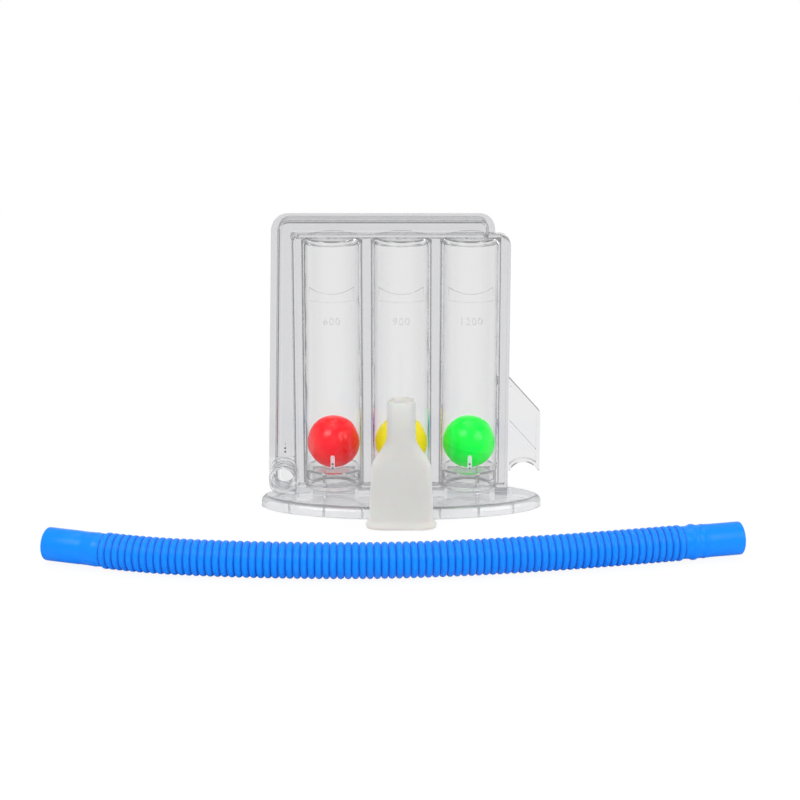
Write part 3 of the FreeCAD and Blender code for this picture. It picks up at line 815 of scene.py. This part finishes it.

# %% [markdown]
# The balls are coloured polypropylene, moulded smooth: a strong even colour with a clear gloss. The shell is
# thin and lets light through, and a painted glow in the ball's own colour stands in for that light, so the
# whole ball glows a little. Where the wall is thinner the colour is a touch brighter, in faint clouds about a
# centimetre across.

# %% Ball materials
BALL_PAINTED_GLOW = 0.3
BALL_ROUGHNESS = 0.18
POLYPROPYLENE_IOR = 1.49
CLOUD_SIZE = 11.11
BALL_COLOURS = {"red": ("ff1e1e", "f01424"), "yellow": ("f2e200", "e4d200"), "green": ("0cff46", "00f03c")}
for colour, (bright, deep) in BALL_COLOURS.items():
    ball_material, tree = new_material(f"{colour}_polypropylene_smooth")
    place = add(tree, "ShaderNodeTexCoord")
    cloud = add(
        tree,
        "ShaderNodeTexNoise",
        {"Vector": place.outputs["Object"], "Scale": 1 / (CLOUD_SIZE * MM), "Detail": 2.0},
    )
    shade = add(
        tree,
        "ShaderNodeMix",
        {"Factor": cloud.outputs["Fac"], 6: linear(bright), 7: linear(deep)},
        data_type="RGBA",
    )
    # Emission is a painted glow: the light that passes the thin shell, given in the ball's own colour
    surface = add(
        tree,
        "ShaderNodeBsdfPrincipled",
        {
            "Base Color": shade.outputs[2],
            "Roughness": BALL_ROUGHNESS,
            "IOR": POLYPROPYLENE_IOR,
            "Subsurface Weight": 0.45,
            "Subsurface Scale": 5 * MM,
            "Emission Color": shade.outputs[2],
            "Emission Strength": BALL_PAINTED_GLOW,
        },
    )
    add(tree, "ShaderNodeOutputMaterial", {"Surface": surface.outputs["BSDF"]})
    balls[colour].data.materials.append(ball_material)
    print(ball_material.name)

# %% [markdown]
# The hose and its cuffs are blue polyethylene, a waxy plastic with a broad soft shine. A very fine grain from
# the blow mould breaks up the highlight. It is drawn about a millimetre wide, coarser than the real one, so
# that it shows from the camera. The colour varies a little along the tube, and the grooves are painted a
# deeper blue as painted shade, because little light gets down between two crests.

# %% Hose material
POLYETHYLENE_IOR = 1.51
BLUE_BRIGHT, BLUE_DEEP, BLUE_PAINTED_GROOVE_SHADE = "0084f0", "007cea", "005cd2"
DRIFT_SIZE = 40.0
GRAIN_SIZE = 1.111
GRAIN_DEPTH = 0.08
GROOVE_END, CREST_START = 0.15, 0.85


def blue_polyethylene(name, corrugated):
    """Waxy blue, with a painted shade of deeper blue in the grooves where the piece has them."""
    material, tree = new_material(name)
    place = add(tree, "ShaderNodeTexCoord")
    drift = add(
        tree,
        "ShaderNodeTexNoise",
        {"Vector": place.outputs["Object"], "Scale": 1 / (DRIFT_SIZE * MM), "Detail": 2.0},
    )
    shade = add(
        tree,
        "ShaderNodeMix",
        {"Factor": drift.outputs["Fac"], 6: linear(BLUE_BRIGHT), 7: linear(BLUE_DEEP)},
        data_type="RGBA",
    )
    tone = shade.outputs[2]
    if corrugated:
        # Painted shade: the grooves are painted a deeper blue
        crest = add(tree, "ShaderNodeAttribute", attribute_name="crest")
        groove = add(
            tree,
            "ShaderNodeMapRange",
            {0: crest.outputs["Fac"], 1: GROOVE_END, 2: CREST_START, 3: 1.0, 4: 0.0},
        )
        painted_groove_shade = add(
            tree,
            "ShaderNodeMix",
            {"Factor": groove.outputs["Result"], 6: tone, 7: linear(BLUE_PAINTED_GROOVE_SHADE)},
            data_type="RGBA",
        )
        tone = painted_groove_shade.outputs[2]
    grain = add(
        tree,
        "ShaderNodeTexNoise",
        {"Vector": place.outputs["Object"], "Scale": 1 / (GRAIN_SIZE * MM), "Detail": 3.0},
    )
    bump = add(
        tree,
        "ShaderNodeBump",
        {"Strength": 0.15, "Distance": GRAIN_DEPTH * MM, "Height": grain.outputs["Fac"]},
    )
    surface = add(
        tree,
        "ShaderNodeBsdfPrincipled",
        {
            "Base Color": tone,
            "Roughness": 0.32,
            "IOR": POLYETHYLENE_IOR,
            "Normal": bump.outputs["Normal"],
            "Specular IOR Level": 0.2,
            "Subsurface Weight": 0.1,
            "Subsurface Scale": 1 * MM,
        },
    )
    add(tree, "ShaderNodeOutputMaterial", {"Surface": surface.outputs["BSDF"]})
    return material


# %% [markdown]
# The hose takes the corrugated kind and its cuffs the plain one. Mirrored rays leave all three out, so that
# the clear walls behind them stay free of blue lines.

# %% Materials on the hose and cuffs
hose.data.materials.append(blue_polyethylene("blue_polyethylene_corrugated", True))
plain_blue = blue_polyethylene("blue_polyethylene_waxy", False)
for cuff in cuffs:
    cuff.data.materials.append(plain_blue)
for piece in [hose] + cuffs:
    piece.visible_glossy = False
    print(piece.name, "is", piece.data.materials[0].name)

# %% [markdown]
# The mouthpiece is soft polyethylene without pigment. It looks milky, because the light scatters in its wall,
# and its surface is satin. A rough transmission lets a little of what is behind it glow through. Light falls
# into the open neck, so the neck lets more through, and its colour is painted paler there as painted light.
# The edges are painted paler too, as a painted sheen. A faint haze, wider than a fingertip, stands for small
# changes in the wall's thickness.

# %% Mouthpiece material
MILKY_IOR = 1.3
HAZE_SIZE = 16.67
PAINTED_SHEEN_EDGE_BLEND = 0.3
BODY_TOP_Z = 34.0
NECK_START_Z = 50.0
BODY_CLEAR = 0.25
NECK_CLEAR = 0.6
milky, tree = new_material("milky_polyethylene_satin")
place = add(tree, "ShaderNodeTexCoord")
haze = add(
    tree,
    "ShaderNodeTexNoise",
    {"Vector": place.outputs["Object"], "Scale": 1 / (HAZE_SIZE * MM), "Detail": 2.0},
)
shade = add(
    tree,
    "ShaderNodeMix",
    {"Factor": haze.outputs["Fac"], 6: linear("e4e1d9"), 7: linear("dcd9d0")},
    data_type="RGBA",
)
parts = add(tree, "ShaderNodeSeparateXYZ", {0: place.outputs["Object"]})
in_neck = add(
    tree,
    "ShaderNodeMapRange",
    {0: parts.outputs["Z"], 1: BODY_TOP_Z * MM, 2: NECK_START_Z * MM},
)
grazing = add(tree, "ShaderNodeLayerWeight", {"Blend": PAINTED_SHEEN_EDGE_BLEND})
painted_light_neck_and_edges = add(
    tree,
    "ShaderNodeMath",
    {0: in_neck.outputs["Result"], 1: grazing.outputs["Facing"]},
    operation="MAXIMUM",
)
# Painted light: the neck and the edges are painted paler
tone = add(
    tree,
    "ShaderNodeMix",
    {"Factor": painted_light_neck_and_edges.outputs[0], 6: shade.outputs[2], 7: linear("f4f4f1")},
    data_type="RGBA",
)
let_through = add(
    tree,
    "ShaderNodeMapRange",
    {0: in_neck.outputs["Result"], 3: BODY_CLEAR, 4: NECK_CLEAR},
)
surface = add(
    tree,
    "ShaderNodeBsdfPrincipled",
    {
        "Base Color": tone.outputs[2],
        "Roughness": 0.35,
        "IOR": MILKY_IOR,
        "Transmission Weight": let_through.outputs["Result"],
        "Subsurface Weight": 0.3,
        "Subsurface Scale": 3 * MM,
        "Sheen Weight": 0.35,
        "Sheen Roughness": 0.4,
    },
)
add(tree, "ShaderNodeOutputMaterial", {"Surface": surface.outputs["BSDF"]})
mouthpiece.data.materials.append(milky)
print(mouthpiece.name, "is", milky.name)

# %% [markdown]
# Clear plastic shows mostly what stands round it. Here that is a white table in a ring of light panels with
# darker gaps between them. The camera itself sees plain white, and only bent or mirrored rays see the ring.
# Mirrored rays find a dim front, because the room behind the camera is dark. One function makes the ring's
# level from a direction, for the world and for the table alike.

# %% Ring of light panels
RING_PANELS = 8
GAP_LEVEL = 0.4
PANEL_EDGE = 0.6
# Angles from straight behind the object, on either side
FRONT_BEGINS = math.radians(100)
FRONT_FULL = math.radians(132)
FRONT_LEVEL_THROUGH = 0.75
FRONT_LEVEL_MIRRORED = 0.1


def ring_level(tree, x, y, mirrored):
    """Brightness by compass direction: 1 at a panel, less between two panels, and dim towards the camera."""
    azimuth = add(tree, "ShaderNodeMath", {0: x, 1: y}, operation="ARCTAN2")
    turned = add(tree, "ShaderNodeMath", {0: azimuth.outputs[0], 1: float(RING_PANELS)}, operation="MULTIPLY")
    wave_level = add(tree, "ShaderNodeMath", {0: turned.outputs[0]}, operation="COSINE")
    panels = add(
        tree,
        "ShaderNodeMapRange",
        {0: wave_level.outputs[0], 1: -PANEL_EDGE, 2: PANEL_EDGE, 3: GAP_LEVEL, 4: 1.0},
        interpolation_type="SMOOTHSTEP",
    )
    away = add(tree, "ShaderNodeMath", {0: azimuth.outputs[0]}, operation="ABSOLUTE")
    in_front = add(
        tree,
        "ShaderNodeMapRange",
        {0: away.outputs[0], 1: FRONT_BEGINS, 2: FRONT_FULL, 3: 0.0, 4: 1.0},
        interpolation_type="SMOOTHSTEP",
    )
    front_level = add(
        tree,
        "ShaderNodeMix",
        {"Factor": mirrored, "A": FRONT_LEVEL_THROUGH, "B": FRONT_LEVEL_MIRRORED},
        data_type="FLOAT",
    )
    level = add(
        tree,
        "ShaderNodeMix",
        {"Factor": in_front.outputs[0], "A": panels.outputs[0], "B": front_level.outputs[0]},
        data_type="FLOAT",
    )
    return level.outputs[0]


# %% [markdown]
# The world holds the ring, and a dimmer ceiling above it that darkens the upward edges of the clear walls.
# Light that falls on matt surfaces comes from an even grey instead, which keeps the colours calm.

# %% World
AMBIENT = 0.8
CEILING_LEVEL = 0.35
# Upward parts of a direction between which the ring goes over to the ceiling
CEILING_BEGINS = 0.5
CEILING_FULL = 0.8
scene = bpy.context.scene
world = bpy.data.worlds.new("studio")
scene.world = world
world.use_nodes = True
tree = world.node_tree
tree.nodes.clear()
direction = add(tree, "ShaderNodeTexCoord")
parts = add(tree, "ShaderNodeSeparateXYZ", {0: direction.outputs["Generated"]})
light_path = add(tree, "ShaderNodeLightPath")
ring = ring_level(tree, parts.outputs["X"], parts.outputs["Y"], light_path.outputs["Is Reflection Ray"])
ceiling = add(
    tree,
    "ShaderNodeMapRange",
    {0: parts.outputs["Z"], 1: CEILING_BEGINS, 2: CEILING_FULL, 3: 1.0, 4: CEILING_LEVEL},
    interpolation_type="SMOOTHSTEP",
)
shown = add(tree, "ShaderNodeMath", {0: ring, 1: ceiling.outputs[0]}, operation="MULTIPLY")
bent_or_mirrored = add(
    tree,
    "ShaderNodeMath",
    {0: light_path.outputs["Is Glossy Ray"], 1: light_path.outputs["Is Transmission Ray"]},
    operation="MAXIMUM",
)
seen = add(
    tree,
    "ShaderNodeMix",
    {"Factor": bent_or_mirrored.outputs[0], "A": AMBIENT, "B": shown.outputs[0]},
    data_type="FLOAT",
)
strength = add(
    tree,
    "ShaderNodeMix",
    {"Factor": light_path.outputs["Is Camera Ray"], "A": seen.outputs[0], "B": 1.0},
    data_type="FLOAT",
)
sky = add(tree, "ShaderNodeBackground", {"Color": WHITE, "Strength": strength.outputs[0]})
add(tree, "ShaderNodeOutputWorld", {"Surface": sky.outputs[0]})
print(len(tree.nodes), "nodes in the world")

# %% [markdown]
# The table is one large flat sheet. It lies a hair below the object, so that no two faces share a plane.

# %% Floor
FLOOR_SIZE = 8.0
FLOOR_DROP = 0.3 * MM
floor_bm = bmesh.new()
bmesh.ops.create_grid(floor_bm, x_segments=1, y_segments=1, size=FLOOR_SIZE / 2)
floor_mesh = bpy.data.meshes.new("floor")
bmesh.ops.translate(floor_bm, verts=floor_bm.verts, vec=(0, 0, -FLOOR_DROP))
floor_bm.to_mesh(floor_mesh)
floor_bm.free()
floor = bpy.data.objects.new("floor", floor_mesh)
scene.collection.objects.link(floor)
print("floor:", FLOOR_SIZE, "m")

# %% [markdown]
# White paper that is overexposed looks even and shows only a breath of shadow. So the table mostly glows, and
# a small share of matt paper near the object takes the soft contact shadows. Further out it is plain white,
# and scattered light finds only matt paper. Bent and mirrored rays see the ring of panels on the table's far
# part, and mirrored ones also nearer by, which gives the clear walls their dark lines.

# %% What rays see on the table
# Distances from the origin in metres between which the ring comes in
RING_BEGINS, RING_FULL = 0.7, 1.5
MIRRORED_BEGINS, MIRRORED_FULL = 0.08, 0.12
paper, tree = new_material("white_table_paper")
place = add(tree, "ShaderNodeTexCoord")
parts = add(tree, "ShaderNodeSeparateXYZ", {0: place.outputs["Object"]})
distance = add(tree, "ShaderNodeVectorMath", {0: place.outputs["Object"]}, operation="LENGTH")
far = add(tree, "ShaderNodeMapRange", {0: distance.outputs["Value"], 1: RING_BEGINS, 2: RING_FULL})
light_path = add(tree, "ShaderNodeLightPath")
ring = ring_level(tree, parts.outputs["X"], parts.outputs["Y"], light_path.outputs["Is Reflection Ray"])
beside = add(
    tree,
    "ShaderNodeMapRange",
    {0: distance.outputs["Value"], 1: MIRRORED_BEGINS, 2: MIRRORED_FULL},
)
mirrored = add(
    tree,
    "ShaderNodeMath",
    {0: beside.outputs[0], 1: light_path.outputs["Is Reflection Ray"]},
    operation="MULTIPLY",
)
ringed = add(tree, "ShaderNodeMath", {0: far.outputs[0], 1: mirrored.outputs[0]}, operation="MAXIMUM")
level = add(tree, "ShaderNodeMix", {"Factor": ringed.outputs[0], "A": 1.0, "B": ring}, data_type="FLOAT")
glow_level = add(
    tree,
    "ShaderNodeMix",
    {"Factor": light_path.outputs["Is Camera Ray"], "A": level.outputs[0], "B": 1.0},
    data_type="FLOAT",
)
print(len(tree.nodes), "nodes for the ring on the table")

# %% [markdown]
# The glow and the matt paper are then mixed by the distance from the object.

# %% Table paper
GLOW_SHARE_NEAR = 0.93
# Distances from the origin in metres between which the shadows go out
SHADOW_FULL, SHADOW_ENDS = 0.5, 0.9
glow = add(tree, "ShaderNodeEmission", {"Color": WHITE, "Strength": glow_level.outputs[0]})
matt = add(tree, "ShaderNodeBsdfDiffuse", {"Color": linear("f4f4f4")})
not_scattered = add(
    tree,
    "ShaderNodeMath",
    {0: 1.0, 1: light_path.outputs["Is Diffuse Ray"]},
    operation="SUBTRACT",
)
glow_share = add(
    tree,
    "ShaderNodeMapRange",
    {0: distance.outputs["Value"], 1: SHADOW_FULL, 2: SHADOW_ENDS, 3: GLOW_SHARE_NEAR, 4: 1.0},
)
share = add(
    tree,
    "ShaderNodeMath",
    {0: glow_share.outputs[0], 1: not_scattered.outputs[0]},
    operation="MULTIPLY",
)
paper_mix = add(tree, "ShaderNodeMixShader", {0: share.outputs[0], 1: matt.outputs[0], 2: glow.outputs[0]})
add(tree, "ShaderNodeOutputMaterial", {"Surface": paper_mix.outputs[0]})
floor.data.materials.append(paper)
print(len(tree.nodes), "nodes in the paper")

# %% [markdown]
# Three large soft lamps give form: a key from the upper left, a weaker fill from the right, and a top light
# that stands a little behind.

# %% Lamps
# Each row is: name, place, diameter in metres, power in watts
LAMPS = (
    ("key", (-0.7, -0.9, 1.3), 0.9, 9.0),
    ("fill", (0.9, -0.8, 0.8), 0.9, 6.0),
    ("top", (0.0, 0.3, 1.5), 1.0, 5.0),
)
LAMP_AIM = Vector((0, 0, 0.05))
for name, place_at, size, watts in LAMPS:
    lamp_data = bpy.data.lights.new(name, "AREA")
    lamp_data.shape = "DISK"
    lamp_data.size = size
    lamp_data.energy = watts
    lamp = bpy.data.objects.new(name, lamp_data)
    scene.collection.objects.link(lamp)
    lamp.location = place_at
    lamp.rotation_euler = (LAMP_AIM - lamp.location).to_track_quat("-Z", "Y").to_euler()
    print(name, watts, "W")

# %% [markdown]
# Light passes many walls of clear plastic here, and each wall counts as two bounces. The view transform is
# Standard, so that white stays white.

# %% Render settings
scene.view_settings.view_transform = "Standard"
scene.cycles.max_bounces = 32
scene.cycles.transmission_bounces = 28
scene.cycles.glossy_bounces = 8
scene.cycles.transparent_max_bounces = 32
